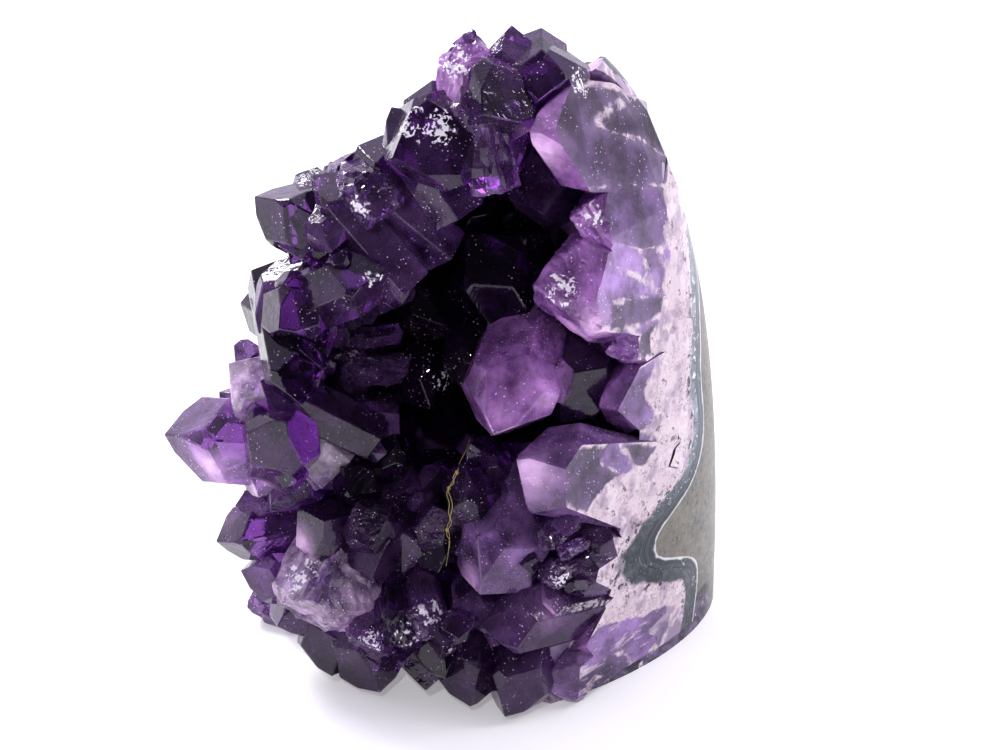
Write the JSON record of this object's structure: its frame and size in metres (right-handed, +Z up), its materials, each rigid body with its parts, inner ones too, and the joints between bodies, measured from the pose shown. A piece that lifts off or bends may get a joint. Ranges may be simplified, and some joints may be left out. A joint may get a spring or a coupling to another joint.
{
  "type": "amethyst geode",
  "caption": "Standing piece of amethyst geode, a hollow lined with purple quartz points, with a polished flank and a sawn flat base, for display.",
  "frame": {"origin": "on the sawn flat base, below the middle of the block", "axes": "+Z up from the sawn base, +X to the polished flank on the right of the open side, -Y out of the open side"},
  "size_m": [0.1124, 0.0734, 0.133],
  "materials": {
    "host_rock": "rough at the back, polished on the flank",
    "agate_rind": "polished on the flank",
    "amethyst_crust": "clear to milky purple quartz, glossy faces, polished on the flank"
  },
  "bodies": {
    "root": {"host_rock": "host_rock", "agate_rind": "agate_rind", "amethyst_crust": "amethyst_crust"}
  },
  "joints": []
}
